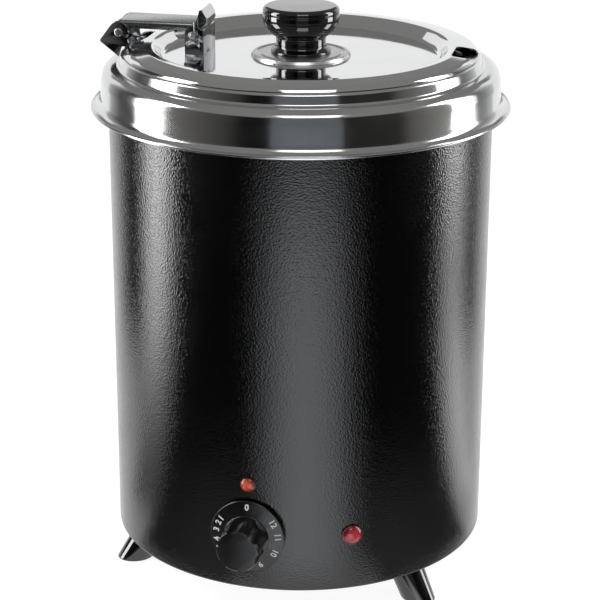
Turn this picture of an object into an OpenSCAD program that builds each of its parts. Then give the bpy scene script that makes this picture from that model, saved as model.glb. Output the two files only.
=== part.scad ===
// Wet-heat soup kettle with a hinged lid, standing on three splayed feet.
// Millimetres. +Z is up, the controls face -Y, and the origin is on the floor under the kettle's axis.
// An azimuth of 0 faces -Y, and 90 faces +X.

/* [Outer shell] */
// Outer radius of the shell
body_r = 120; // [116:1:124]
// Height of the shell's bottom edge over the floor
body_bottom = 24; // [22:0.5:26]
// Height of the shell's top edge over the floor
shell_top = 324; // [318:1:330]
// Thickness of the shell and of the bottom plate
shell_t = 1.2; // [1:0.1:1.5]

/* [Feet] */
// Azimuth of the first foot
foot_az = -77; // [-90:1:-60]
// Distance of a foot's middle from the axis, on the floor
foot_x = 112; // [108:1:114]
// Lean of the feet
foot_lean = 33; // [25:1:35]
// Radius of a foot at the floor
foot_r = 10; // [9:0.5:11]

/* [Well and pot] */
// Inner radius of the water well
well_r = 107; // [106:0.5:108]
// Height of the well's floor
well_floor = 113.2; // [110:0.2:116]
// Inner radius of the pot
pot_r = 98; // [94:1:99]
// Inner depth of the pot
pot_depth = 200; // [180:5:202]
// Thickness of the well, the pot, the collar and the lid
liner_t = 1; // [0.8:0.1:1.2]

/* [Collar] */
// Radius of the flared lip
lip_r = 131.1; // [129:0.1:133]
// Radius of the opening
collar_hole_r = 100.5; // [100:0.1:101]

/* [Lid] */
// Radius of the lid's flat middle
lid_flat_r = 76.9; // [74:0.1:78]
// Height that the rim's crest stands over the flat middle
lid_step = 7.2; // [6:0.1:8]
// Half the width of the ladle notch
ladle_half = 14; // [12:0.5:16]

/* [Hinge and latch] */
// Azimuth of the hinge
hinge_az = -102; // [-110:1:-95]
// Distance of the hinge pin from the axis
hinge_x = 113.5; // [113:0.1:114]
// Distance of the lid pin from the axis
lid_pin_x = 64.9; // [64:0.1:66]
// Radius of both pins
pin_r = 2; // [1.8:0.1:2.2]
// Width of the arm
arm_w = 26; // [25:0.5:27]

/* [Controls] */
// Azimuth of the dial and the small lamp
dial_az = -15; // [-20:1:-10]
// Azimuth of the large lamp
lamp_az = 15.6; // [12:0.2:20]
// Height of the dial's axis and the large lamp
dial_z = 61; // [58:1:64]
// Height of the small lamp
small_lamp_z = 94.5; // [92:0.5:98]
// Radius of the dial's skirt
dial_r = 23.5; // [22:0.5:25]
// Radius of the dial's grip
grip_r = 13.4; // [12.5:0.1:14]
// Lobes round the grip
grip_lobes = 6; // [5:1:8]
// Radius of the small lamp's lens
small_lens_r = 4.75; // [4.5:0.05:5]
// Radius of the large lamp's lens
large_lens_r = 6.5; // [6.2:0.1:7]

/* [Lid knob] */
// Largest radius of the knob
knob_r = 23.9; // [22:0.1:25]
// Height of the knob over its disc
knob_h = 29.3; // [28:0.1:31]
// Radius of the disc under the knob
disc_r = 31; // [29:0.5:33]

/* [Hidden] */
$fn = 96;

foot_step = 120;           // angle between feet
running = 0.05;            // radial clearance of a pin that turns
gap = 0.2;                 // side clearance between moving cheeks
arm_t = 1.2;               // thickness of the arm, the brackets and the lever
plate_bottom = body_bottom - shell_t;
flange_r = 104;            // inner radius of the shell's bottom flange
plate_r = 112;
screw_ring = 108;          // distance of the bottom plate's screws
foot_screw_x = 99;
seat_z = shell_top + 1;    // top of the well's flange
pot_rim_z = seat_z + 0.1 + liner_t;
pot_floor = pot_rim_z - pot_depth;
pot_bead_r = 1.5;          // radius of the rolled edge of the pot
collar_top = seat_z + 11.8;
skirt_r = 125;
lip_bottom = 303.3;
lid_flat_z = collar_top - 2.8;
lid_crest = lid_flat_z + lid_step;
pivot_z = lid_flat_z + 11.8;
arm_top = pivot_z + 7.5;
arm_low = arm_top - 4.9;
cheek_y = arm_w / 2;       // outer face of the arm's cheeks
ear_y = cheek_y + gap;     // inner face of both brackets' ears
lever_y = cheek_y - arm_t - gap;
bar_x0 = 11.2;             // latch's lock bar, outwards from the lid pin
bar_len = 1.6;
bar_up = 1.5;              // depth that the bar reaches into the arm's notches
ear_r = 6.5;
lid_ear_r = 5.85;
ladle_az = hinge_az + 180;
disc_h = 2.3;
knob_z = lid_flat_z + disc_h;
cap_h = 4.5;               // height of the knob's cap
shaft_r = 3;
face_x = body_r + 1.4;     // back of the dial
grip_x = body_r + 25;      // face of the dial's grip
gland_az = 180;
gland_z = 46;

// --- Helpers -------------------------------------------------------------------------------------

// Points of an arc round c, from angle a0 to a1, in n steps
function arc(c, r, a0, a1, n = 6) =
    [for (i = [0:n]) let(a = a0 + (a1 - a0) * i / n) c + r * [cos(a), sin(a)]];

function reversed(p) = [for (i = [len(p) - 1:-1:0]) p[i]];

function edge_dir(p, i) = (p[i + 1] - p[i]) / norm(p[i + 1] - p[i]);

// A path moved to its left by t, with mitred corners
function moved(p, t) = [for (i = [0:len(p) - 1])
    let(m = edge_dir(p, max(i - 1, 0)) + edge_dir(p, min(i, len(p) - 2)))
    p[i] + [-m[1], m[0]] * 2 * t / (m * m)];

// Sheet metal: the area between a path and the same path moved to its left by t
module sheet(p, t) polygon(concat(p, reversed(moved(p, t))));

// Sheet metal spun round the Z axis
module spun(p, t) rotate_extrude() sheet(p, t);

// Puts local +X at an azimuth
module at_az(az) rotate([0, 0, az - 90]) children();

// A cylinder along local +X, from x0 to x1, at height z
module bar_x(x0, x1, r, y = 0, z = 0) translate([x0, y, z]) rotate([0, 90, 0]) cylinder(r = r, h = x1 - x0);

// A cylinder along local Y, centred on y = 0
module bar_y(len_y, r, x, z) translate([x, 0, z]) rotate([90, 0, 0])
    cylinder(r = r, h = len_y, center = true);

// A disc with its axis along local Y, on both sides of the local XZ plane
module both_discs(y0, y1, r, x, z)
    for (s = [-1, 1]) translate([0, s * (y0 + y1) / 2, 0]) bar_y(y1 - y0, r, x, z);

// A plate in the local XZ plane between y0 and y1
module plate_xz(y0, y1) translate([0, y1, 0]) rotate([90, 0, 0]) linear_extrude(y1 - y0) children();

// The same plate on both sides of the local XZ plane
module both_sides(y0, y1) {
    plate_xz(y0, y1) children();
    plate_xz(-y1, -y0) children();
}

// Rectangle with round corners, centred
module round_rect(w, h, r) polygon(concat(
    arc([w / 2 - r, h / 2 - r], r, 0, 90), arc([r - w / 2, h / 2 - r], r, 90, 180),
    arc([r - w / 2, r - h / 2], r, 180, 270), arc([w / 2 - r, r - h / 2], r, 270, 360)));

// --- Shell, bottom and feet ----------------------------------------------------------------------

module outer_shell() color("#232427") {
    bend = 1.5;
    path = concat([[flange_r, body_bottom]],
        arc([body_r - bend, body_bottom + bend], bend, -90, 0),
        [[body_r, shell_top]]);
    difference() {
        spun(path, shell_t);
        at_az(dial_az) {
            bar_x(body_r - 6, body_r + 2, 5.1, 0, dial_z);
            for (y = [-14, 14]) bar_x(body_r - 6, body_r + 2, 1.7, y, dial_z);
            bar_x(body_r - 6, body_r + 2, 4, 0, small_lamp_z);
        }
        at_az(lamp_az) bar_x(body_r - 6, body_r + 2, 5.5, 0, dial_z);
        at_az(gland_az) bar_x(body_r - 6, body_r + 2, 8, 0, gland_z);
        at_screws(body_bottom - 1) cylinder(r = 1.6, h = 4);
    }
}

// The three places between the feet where screws hold the bottom plate
module at_screws(z)
    for (i = [0:2]) at_az(foot_az + 60 + i * foot_step) translate([screw_ring, 0, z]) children();

// The three feet's screws
module at_feet(z)
    for (i = [0:2]) at_az(foot_az + i * foot_step) translate([foot_screw_x, 0, z]) children();

module base_plate() color("#2c2d30") {
    dish_r = 60;
    dish_h = 3;
    vent_count = 12;
    path = [[0, plate_bottom + dish_h], [dish_r, plate_bottom + dish_h], [dish_r + 4, plate_bottom],
        [plate_r, plate_bottom]];
    difference() {
        spun(path, shell_t);
        for (i = [0:vent_count - 1]) rotate([0, 0, i * 360 / vent_count])
            translate([34, -2, plate_bottom]) cube([18, 4, 8]);
        at_feet(plate_bottom - 1) cylinder(r = 2, h = 4);
        at_screws(plate_bottom - 1) cylinder(r = 1.6, h = 4);
    }
}

module base_screws() color("#b9bcc0") at_screws(plate_bottom) {
    cylinder(r = 1.6, h = 7);
    translate([0, 0, -1.8]) cylinder(r1 = 2.4, r2 = 3.2, h = 1.8);
}

// A leaning cone, cut off level at the floor and at the bottom plate
module foot(az) color("#101113") at_az(az) difference() {
    intersection() {
        translate([foot_x, 0, 0]) rotate([0, -foot_lean, 0]) translate([0, 0, -20])
            cylinder(r1 = foot_r - 0.6, r2 = foot_r + 1.6, h = 66);
        translate([50, -40, 0]) cube([100, 80, plate_bottom]);
    }
    translate([foot_screw_x, 0, plate_bottom - 13]) cylinder(r = 2, h = 14);
}

module foot_left() foot(foot_az);

module foot_right() foot(foot_az + foot_step);

module foot_rear() foot(foot_az + 2 * foot_step);

module foot_screws() color("#b9bcc0") at_feet(plate_bottom - 13) {
    cylinder(r = 2, h = 13 + shell_t);
    translate([0, 0, 13 + shell_t]) cylinder(r1 = 4, r2 = 2.6, h = 2.2);
}

// --- Well and heating ----------------------------------------------------------------------------

module water_well() color("#c9ccd0") {
    corner = 8;
    flare = 7;
    path = concat([[0, well_floor]],
        arc([well_r - corner, well_floor + corner], corner, -90, 0),
        arc([well_r + flare, seat_z - flare], flare, 180, 90),
        [[body_r - 0.1, seat_z]]);
    spun(path, -liner_t);
    translate([0, 0, well_floor - 28]) cylinder(r = shaft_r, h = 27.5);
}

spreader_z = well_floor - liner_t - 2.5;
element_r = 4;
element_z = spreader_z - element_r - 0.1;

module heat_spreader() color("#d8dadd") translate([0, 0, spreader_z]) difference() {
    cylinder(r = 62, h = 2.4);
    translate([0, 0, -1]) cylinder(r = shaft_r + 0.2, h = 5);
}

module heating_element() color("#6d6f72") {
    ring_r = 44;
    open_angle = 36;
    translate([0, 0, element_z]) rotate([0, 0, open_angle / 2])
        rotate_extrude(angle = 360 - open_angle) translate([ring_r, 0]) circle(r = element_r);
    for (s = [-1, 1]) rotate([0, 0, s * open_angle / 2]) translate([ring_r, 0, element_z - 20]) {
        cylinder(r = element_r, h = 20);
        translate([0, 0, -8]) cylinder(r = 1.6, h = 8);
    }
}

module element_clamp() color("#a7aaae") translate([0, 0, element_z - element_r - 2.1]) difference() {
    translate([-56, -12, 0]) cube([90, 24, 2]);
    translate([0, 0, -1]) cylinder(r = shaft_r + 0.2, h = 4);
}

module clamp_nut() color("#b9bcc0") translate([0, 0, element_z - element_r - 7.2]) difference() {
    cylinder(r = 5.8, h = 5, $fn = 6);
    translate([0, 0, -1]) cylinder(r = shaft_r, h = 7);
}

module overheat_cutout() color("#1c1c1e") at_az(60) translate([78, 0, well_floor - liner_t]) {
    translate([0, 0, -2.1]) cylinder(r = 11, h = 2);
    translate([0, 0, -11]) cylinder(r = 8, h = 9);
    for (y = [-4, 4]) translate([-0.4, y - 3, -18]) cube([0.8, 6, 8]);
}

// --- Thermostat, dial and lamps ------------------------------------------------------------------

module thermostat_body() color("#3a3a3c") at_az(dial_az) {
    half = 17;
    back = 90;
    front = 115.6;
    difference() {
        union() {
            translate([back, -half, dial_z - half]) cube([front - back, 2 * half, 2 * half]);
            bar_x(front, body_r + 1, 5, 0, dial_z);
        }
        bar_x(back + 8, body_r + 2, shaft_r + running, 0, dial_z);
        for (y = [-14, 14]) bar_x(front - 6, front + 1, 1.5, y, dial_z);
    }
    for (y = [-8, 0, 8]) translate([back - 7, y - 3, dial_z + 8]) cube([7, 6, 0.8]);
}

module thermostat_screws() color("#b9bcc0") at_az(dial_az) for (y = [-14, 14]) {
    bar_x(109.8, 119.5, 1.5, y, dial_z);
    bar_x(119.5, 120.9, 2.8, y, dial_z);
}

// The shaft with its flat; extra makes the matching hole
module d_shaft(x0, x1, extra = 0) difference() {
    bar_x(x0, x1, shaft_r + extra, 0, dial_z);
    translate([body_r + 3, -5, dial_z + 1.6 + extra]) cube([40, 10, 4]);
}

module thermostat_shaft() color("#c9ccd0") at_az(dial_az) d_shaft(99, grip_x - 8);

module thermostat_dial() color("#151618") at_az(dial_az) difference() {
    union() {
        translate([0, 0, dial_z]) rotate([0, 90, 0]) rotate_extrude() polygon(concat(
            [[0, face_x]],
            arc([dial_r - 0.5, face_x + 0.5], 0.5, -90, 0, 3),
            [[dial_r, face_x + 0.9], [dial_r - 0.4, face_x + 1.4], [grip_r + 1.6, face_x + 2.9]],
            arc([grip_r + 1.6, face_x + 4.1], 1.2, 270, 180, 4),
            [[grip_r, grip_x - 1.2]],
            arc([grip_r - 1.2, grip_x - 1.2], 1.2, 0, 90, 4),
            [[0, grip_x]]));
    }
    for (i = [0:grip_lobes - 1]) translate([face_x + 3.6, 0, dial_z])
        rotate([i * 360 / grip_lobes + 14, 0, 0]) translate([0, 0, grip_r + 4.6])
            rotate([0, 88, 0]) cylinder(r = 6.8, h = 40);
    d_shaft(face_x - 1, grip_x - 7.5, running);
}

module feeler_bulb() color("#b98a5a") at_az(-48) translate([112.1, 0, 130]) cylinder(r = 3, h = 62);

module bulb_clip() color("#a7aaae") at_az(-48) translate([112.1, 0, 156]) difference() {
    union() {
        cylinder(r = 4, h = 8);
        translate([-4, -11, 0]) cube([1.2, 22, 8]);
    }
    translate([0, 0, -1]) cylinder(r = 3, h = 10);
}

// Domed lens that stands on the shell, in front of a lamp
module lens(z, r, dome) {
    edge_h = 1.2;
    round_r = 0.5;
    half = r - round_r;
    cap_r = (half * half + dome * dome) / (2 * dome);
    a0 = asin(half / cap_r);
    translate([body_r, 0, z]) rotate([0, 90, 0]) rotate_extrude() polygon(concat(
        [[0, 0], [r, 0], [r, edge_h - 0.4], [r - 0.3, edge_h]],
        [for (i = [0:7]) let(a = a0 * (1 - i / 8)) [cap_r * sin(a), edge_h + dome - cap_r + cap_r * cos(a)]],
        [[0, edge_h + dome]]));
}

module lamp_body(z, r, len_x) {
    bar_x(body_r - len_x, body_r, r, 0, z);
    for (s = [-1, 1]) translate([body_r - len_x - 7, s * r / 2 - 0.4, z - 1.5]) cube([8, 0.8, 3]);
}

module small_lamp_lens() color("#c8281f") at_az(dial_az) lens(small_lamp_z, small_lens_r, 2);

module small_lamp_body() color("#e8e4da") at_az(dial_az) lamp_body(small_lamp_z, 3.9, 22);

module large_lamp_lens() color("#b01822") at_az(lamp_az) lens(dial_z, large_lens_r, 3.2);

module large_lamp_body() color("#e8e4da") at_az(lamp_az) lamp_body(dial_z, 5.4, 27);

// Pressed-steel ring that grips a lamp behind the shell
module lamp_clip(z, r) difference() {
    bar_x(body_r - 3.6, body_r - 2.6, r + 3.4, 0, z);
    bar_x(body_r - 5, body_r, r, 0, z);
}

module lamp_clips() color("#a7aaae") {
    at_az(dial_az) lamp_clip(small_lamp_z, 3.9);
    at_az(lamp_az) lamp_clip(dial_z, 5.4);
}

// --- Cable entry ---------------------------------------------------------------------------------

module cable_gland() color("#151618") at_az(gland_az) difference() {
    union() {
        bar_x(body_r - 14, body_r + 1, 7.9, 0, gland_z);
        bar_x(body_r + 0.1, body_r + 3, 10.8, 0, gland_z);
        translate([body_r + 3, 0, gland_z]) rotate([0, 90, 0]) cylinder(r1 = 9.6, r2 = 7.4, h = 10);
    }
    bar_x(body_r - 15, body_r + 14, 3.7, 0, gland_z);
}

module gland_nut() color("#151618") at_az(gland_az) difference() {
    translate([body_r - 7, 0, gland_z]) rotate([0, 90, 0]) cylinder(r = 11.5, h = 4.6, $fn = 6);
    bar_x(body_r - 8, body_r, 7.9, 0, gland_z);
}

module terminal_bracket() color("#a7aaae") at_az(gland_az) {
    translate([70, -17, body_bottom]) cube([26, 34, 1.2]);
    translate([70, -17, body_bottom]) cube([1.2, 34, 22]);
}

module terminal_block() color("#e8e4da") at_az(gland_az) difference() {
    translate([71.2, -15, body_bottom + 3]) cube([17, 30, 15]);
    for (y = [-10, 0, 10]) {
        bar_x(70, 90, 1.9, y, body_bottom + 9);
        translate([80, y, body_bottom + 9]) cylinder(r = 1.6, h = 12);
    }
}

// --- Pot and collar ------------------------------------------------------------------------------

module inner_pot() color("#d2d4d7") {
    corner = 10;
    flare = 5;
    bead_x = 116.4;
    path = concat([[0, pot_floor]],
        arc([pot_r - corner, pot_floor + corner], corner, -90, 0),
        arc([pot_r + flare, pot_rim_z - flare], flare, 180, 90),
        [[bead_x, pot_rim_z]]);
    spun(path, -liner_t);
    rotate_extrude() translate([bead_x, seat_z + 0.1 + pot_bead_r]) circle(r = pot_bead_r);
}

// Top surface of the collar, from the rim of its opening out to the lip
function collar_path() = let(flare = 6, roll = 2.4, hem = 1.2) concat(
    [[collar_hole_r, collar_top - 3]],
    arc([collar_hole_r + hem, collar_top - hem], hem, 180, 90, 4),
    arc([111.6 - roll, collar_top - roll], roll, 90, 8),
    [[112.9, collar_top - 5.6], [114.4, collar_top - 7.1]],
    arc([117.6, collar_top - 13.9], 6.4, 98, 20, 8),
    [[124.3, collar_top - 15.3], [skirt_r, collar_top - 24]],
    arc([skirt_r + flare + 0.1, lip_bottom + 1 + flare], flare, 180, 268, 8));

module collar_solid() {
    spun(collar_path(), -liner_t);
    rotate_extrude() translate([lip_r - 0.8, lip_bottom + 0.8]) circle(r = 0.8);
}

module collar_ring() color("#d6d8db") difference() {
    collar_solid();
    at_az(hinge_az) for (y = [-7, 7]) translate([105.5, y, collar_top - 5]) cylinder(r = 1.5, h = 8);
}

// --- Hinge ---------------------------------------------------------------------------------------

module hinge_bracket() color("#3c3e42") at_az(hinge_az) {
    base_x0 = 101.3;
    base_x1 = hinge_x - 0.9;
    base_low = collar_top + 0.05;
    ear_out = ear_y + arm_t;
    difference() {
        union() {
            translate([base_x0, -ear_out, base_low]) cube([base_x1 - base_x0, 2 * ear_out, arm_t]);
            both_sides(ear_y, ear_out) translate([hinge_x, pivot_z]) polygon([
                [5.27, 3.8], [0, 5], [-5.55, -3.39], [-6.4, -7.2], [-12.2, base_low - pivot_z + arm_t],
                [-12.2, base_low - pivot_z], [-1.9, base_low - pivot_z], [0.1, -15.5], [10.9, -7.1],
                [12, -6.1], [11.9, -5]]);
            both_discs(ear_y, ear_out, ear_r, hinge_x, pivot_z);
        }
        bar_y(60, pin_r, hinge_x, pivot_z);
        for (y = [-7, 7]) translate([105.5, y, base_low - 1]) cylinder(r = 1.5, h = 4);
    }
}

module bracket_rivets() color("#b9bcc0") at_az(hinge_az) for (y = [-7, 7]) translate([105.5, y, 0]) {
    translate([0, 0, collar_top - 1.6]) cylinder(r = 1.5, h = 3.2);
    translate([0, 0, collar_top + 0.05 + arm_t]) cylinder(r1 = 2.6, r2 = 1.8, h = 0.8);
    translate([0, 0, collar_top - 2]) cylinder(r = 2.4, h = 1 - 0.1);
}

// A pin along local Y with a riveted head on each end
module headed_pin(x, reach, head_r, head_h) {
    bar_y(2 * reach, pin_r, x, pivot_z);
    for (s = [-1, 1]) translate([x, s * (reach + head_h / 2), pivot_z]) rotate([-90 * s, 0, 0])
        translate([0, 0, -head_h / 2]) cylinder(r1 = head_r, r2 = head_r - 0.7, h = head_h);
}

module hinge_pin() color("#b9bcc0") at_az(hinge_az) headed_pin(hinge_x, ear_y + arm_t, 2.9, 1.1);

// Cross-section of the arm's channel: y across, z up
module arm_section() {
    outer = arc([cheek_y - 1.6, arm_top - 1.6], 1.6, 0, 90);
    inner = arc([cheek_y - arm_t - 0.4, arm_top - arm_t - 0.4], 0.4, 90, 0, 3);
    half = concat([[cheek_y, arm_low]], outer);
    inside = concat(inner, [[cheek_y - arm_t, arm_low]]);
    function mirrored(p) = [for (q = reversed(p)) [-q[0], q[1]]];
    polygon(concat(half, mirrored(half), mirrored(inside), inside));
}

module hinge_arm() color("#c4c6ca") at_az(hinge_az) {
    web_x0 = lid_pin_x + 1.3;
    web_x1 = hinge_x + 0.2;
    hook_r = 5;
    slot = pin_r + running;
    low = arm_low - pivot_z;
    difference() {
        union() {
            translate([web_x0, 0, 0]) rotate([90, 0, 90]) linear_extrude(web_x1 - web_x0) arm_section();
            both_sides(cheek_y - arm_t, cheek_y) {
                translate([lid_pin_x, pivot_z]) polygon([[1.3, low + 0.5], [1.3, low], [0, 0],
                    [4, -3], [5.2, low - 1.4], [7.2, low], [8, low + 0.5]]);
                translate([hinge_x, pivot_z]) polygon([[-10, low + 0.5], [-8.2, low], [-6.2, 0.2], [0, 0],
                    [4.4, 4.4], [2.4, 6.4], [0.2, 7], [-2, 6]]);
            }
            both_discs(cheek_y - arm_t, cheek_y, ear_r - 0.2, hinge_x, pivot_z);
            both_discs(cheek_y - arm_t, cheek_y, hook_r, lid_pin_x, pivot_z);
        }
        bar_y(60, pin_r + running, hinge_x, pivot_z);
        bar_y(60, slot, lid_pin_x, pivot_z);
        translate([lid_pin_x - 12, -30, pivot_z - slot]) cube([12, 60, 2 * slot]);
        translate([lid_pin_x + bar_x0 - 0.15, -30, arm_low - 1]) cube([bar_len + 0.7, 60, bar_up + 1.25]);
    }
}

// --- Lid -----------------------------------------------------------------------------------------

// Top surface of the lid, from the middle out to the rim
function lid_path() = let(slope = 38, dish = 4, crest = 5,
    rise = lid_step - dish * (1 - cos(slope)) - crest * (1 - cos(slope)),
    foot = lid_flat_r + dish * sin(slope), run = rise / tan(slope), top = foot + run + crest * sin(slope))
    concat([[0, lid_flat_z]],
        arc([lid_flat_r, lid_flat_z + dish], dish, -90, slope - 90),
        arc([top, lid_crest - crest], crest, 90 + slope, 90),
        arc([104.8, lid_crest - 5.5], 5.5, 90, 16, 8));

// Plan of a notch: from x0 outwards, with round inner corners
module notch(x0, half, corner = 3) translate([0, 0, lid_flat_z]) linear_extrude(20)
    polygon(concat(
        arc([x0 + corner, corner - half], corner, 270, 180),
        arc([x0 + corner, half - corner], corner, 180, 90),
        [[x0 + 40, half], [x0 + 40, -half]]));

module lid_plate() color("#d9dbde") difference() {
    spun(lid_path(), -liner_t);
    at_az(ladle_az) notch(95.5, ladle_half);
    at_az(hinge_az) notch(97.6, ear_y + arm_t + 1.8);
    translate([0, 0, lid_flat_z - 5]) cylinder(r = 3, h = 10);
    at_az(hinge_az) for (y = [-7, 7]) translate([lid_pin_x + 0.6, y, lid_flat_z - 5])
        cylinder(r = 1.5, h = 10);
}

module lid_bracket() color("#8d9094") at_az(hinge_az) {
    web_x = lid_pin_x - 6.3;
    ear_out = ear_y + arm_t;
    difference() {
        union() {
            translate([web_x, -ear_out, lid_flat_z]) cube([arm_t, 2 * ear_out, 15.6]);
            both_sides(ear_y, ear_out) translate([lid_pin_x, 0]) polygon([
                [-6.3, lid_flat_z], [-6.3, pivot_z + 3.8], [-4.4, pivot_z + 3.8], [0, pivot_z],
                [lid_ear_r, pivot_z], [lid_ear_r, lid_flat_z]]);
            both_discs(ear_y, ear_out, lid_ear_r, lid_pin_x, pivot_z);
            translate([web_x, -ear_out, lid_flat_z]) cube([11, 2 * ear_out, arm_t]);
        }
        bar_y(60, pin_r, lid_pin_x, pivot_z);
        for (y = [-7, 7]) translate([lid_pin_x + 0.6, y, lid_flat_z - 1]) cylinder(r = 1.5, h = 4);
    }
}

module lid_bracket_rivets() color("#b9bcc0") at_az(hinge_az)
    for (y = [-7, 7]) translate([lid_pin_x + 0.6, y, lid_flat_z]) {
        translate([0, 0, -1.6]) cylinder(r = 1.5, h = 3);
        translate([0, 0, arm_t]) cylinder(r1 = 2.6, r2 = 1.8, h = 0.8);
        translate([0, 0, -2]) cylinder(r = 2.4, h = 1);
    }

module lid_pin() color("#b9bcc0") at_az(hinge_az) headed_pin(lid_pin_x, ear_y + arm_t + 2.2, 2.3, 0.8);

// --- Latch ---------------------------------------------------------------------------------------

module latch_lever() color("#4a4c50") at_az(hinge_az) {
    plate_tilt = 30;
    difference() {
        union() {
            both_sides(lever_y - arm_t, lever_y) translate([lid_pin_x, pivot_z]) polygon([
                [-3.7, 1.5], [-4.3, 4.9], [-6.4, 5.4], [-7.6, 8], [-7.3, 10.3], [-4.2, 15.6], [-2.9, 15.4],
                [-0.9, 7.2], [1, 5.2], [12.8, 5.2], [13.3, 4.6], [13.3, -0.2], [10.8, -2.8], [2.8, -2.8]]);
            both_discs(lever_y - arm_t, lever_y, 4, lid_pin_x, pivot_z);
            translate([lid_pin_x + bar_x0, -cheek_y, arm_low - 1]) cube([bar_len, 2 * cheek_y, bar_up + 1]);
            translate([lid_pin_x - 5.6, 0, pivot_z + 12.8]) rotate([0, plate_tilt, 0]) rotate([90, 0, 90])
                linear_extrude(arm_t, center = true) round_rect(2 * lever_y, 6.6, 2.4);
        }
        bar_y(60, pin_r + running, lid_pin_x, pivot_z);
    }
}

module latch_spring() color("#c4c6ca") at_az(hinge_az) {
    wire = 0.45;
    coil_r = pin_r + wire + 0.25;
    y0 = ear_y + arm_t + wire + 0.1;
    for (i = [0:1]) translate([lid_pin_x, y0 + i * 2.02 * wire, pivot_z]) rotate([90, 0, 0])
        rotate_extrude() translate([coil_r, 0]) circle(r = wire, $fn = 24);
    translate([lid_pin_x + 0.6, y0, pivot_z - coil_r]) rotate([0, 118, 0])
        cylinder(r = wire, h = 5, $fn = 24);
    translate([lid_pin_x - 0.9, y0 + 2.02 * wire, pivot_z + 2.5])
        cylinder(r = wire, h = 6.9, $fn = 24);
    translate([lid_pin_x - 0.9, y0 + 2.02 * wire, pivot_z + 9.4]) rotate([90, 0, 0])
        cylinder(r = wire, h = 5.2, $fn = 24);
}

// --- Knob ----------------------------------------------------------------------------------------

module knob_disc() color("#d6d8db") rotate_extrude() polygon(concat(
    [[3, lid_flat_z], [disc_r - 0.6, lid_flat_z]],
    arc([disc_r - 0.6, lid_flat_z + 0.6], 0.6, -90, 60, 5),
    [[disc_r - 8, knob_z - 0.1], [3, knob_z]]));

module lid_knob() color("#0f1012") {
    neck = [19.6, knob_z + 5.1];
    neck_r = 4.4;
    bulb_r = 20;
    seam = knob_z + knob_h - cap_h;
    difference() {
        rotate_extrude() polygon(concat(
            [[0, knob_z], [17.4, knob_z]],
            arc([17.4, knob_z + 0.6], 0.6, -90, 40, 4),
            arc(neck, neck_r, 232, 130, 8),
            arc([knob_r - bulb_r, seam], bulb_r, -50, 0, 12),
            [[knob_r - 0.5, seam + 0.2], [0, seam + 0.2]]));
        translate([0, 0, knob_z - 1]) cylinder(r = 3, h = 14);
    }
}

module knob_cap() color("#0f1012") {
    base = knob_z + knob_h - cap_h + 0.2;
    edge = 3.4;
    top = knob_z + knob_h;
    rotate_extrude() polygon(concat(
        [[0, base], [knob_r - 0.4, base], [knob_r, base + 0.4]],
        arc([knob_r - edge, top - 0.3 - edge], edge, 0, 85, 8),
        [[0, top]]));
}

module knob_screw() color("#b9bcc0") {
    translate([0, 0, lid_flat_z - liner_t]) cylinder(r = 3, h = knob_z + 12 - lid_flat_z);
    translate([0, 0, lid_flat_z - liner_t - 3]) cylinder(r1 = 4.4, r2 = 5.4, h = 3);
}

// --- Nodes ---------------------------------------------------------------------------------------

outer_shell();
base_plate();
base_screws();
foot_left();
foot_right();
foot_rear();
foot_screws();
water_well();
heat_spreader();
heating_element();
element_clamp();
clamp_nut();
overheat_cutout();
thermostat_body();
thermostat_screws();
thermostat_shaft();
thermostat_dial();
feeler_bulb();
bulb_clip();
small_lamp_lens();
small_lamp_body();
large_lamp_lens();
large_lamp_body();
lamp_clips();
cable_gland();
gland_nut();
terminal_bracket();
terminal_block();
inner_pot();
collar_ring();
hinge_bracket();
bracket_rivets();
hinge_pin();
hinge_arm();
lid_plate();
lid_bracket();
lid_bracket_rivets();
lid_pin();
latch_lever();
latch_spring();
knob_disc();
lid_knob();
knob_cap();
knob_screw();
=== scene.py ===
# %% [markdown]
# # A soup kettle, dressed over its CAD frame
# The CAD model gives the true size, the parts and the joints. This lesson leaves that frame where it is,
# gives its plain pieces real finishes, and turns finer pieces where the eye would see the difference.

# %% The frame and its size
import math

import bmesh
import bpy
from mathutils import Matrix, Vector


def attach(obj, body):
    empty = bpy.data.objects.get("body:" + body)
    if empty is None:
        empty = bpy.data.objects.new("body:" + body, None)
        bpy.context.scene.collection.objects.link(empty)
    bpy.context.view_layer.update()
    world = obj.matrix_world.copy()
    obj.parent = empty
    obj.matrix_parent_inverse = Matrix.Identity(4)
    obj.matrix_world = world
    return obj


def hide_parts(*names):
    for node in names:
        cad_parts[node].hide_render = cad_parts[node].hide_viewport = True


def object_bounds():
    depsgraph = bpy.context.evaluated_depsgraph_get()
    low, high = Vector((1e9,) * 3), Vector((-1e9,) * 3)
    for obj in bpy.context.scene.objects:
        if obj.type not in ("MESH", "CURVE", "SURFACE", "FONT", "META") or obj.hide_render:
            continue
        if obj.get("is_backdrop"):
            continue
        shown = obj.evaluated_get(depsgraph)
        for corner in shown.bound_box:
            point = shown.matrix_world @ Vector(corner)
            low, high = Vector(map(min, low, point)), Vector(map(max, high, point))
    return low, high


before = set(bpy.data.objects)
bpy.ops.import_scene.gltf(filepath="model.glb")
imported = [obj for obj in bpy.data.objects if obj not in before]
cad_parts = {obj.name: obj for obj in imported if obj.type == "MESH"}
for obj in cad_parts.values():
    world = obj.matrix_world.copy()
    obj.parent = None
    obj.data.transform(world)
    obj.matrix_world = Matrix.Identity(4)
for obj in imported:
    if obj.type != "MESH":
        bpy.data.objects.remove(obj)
cad_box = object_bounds()
MM = 0.001  # the frame is in metres, and this kettle is measured in millimetres
print("size in mm:", [round((hi - lo) / MM, 1) for lo, hi in zip(*cad_box)])

# %% [markdown]
# ## Main sizes
# Radii are measured from the kettle's axis and heights from the floor, both in millimetres. Places round
# the kettle are azimuths in degrees, with 0 at the front and 90 at the right. A piece that rests on
# another one takes its height from it.

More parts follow.
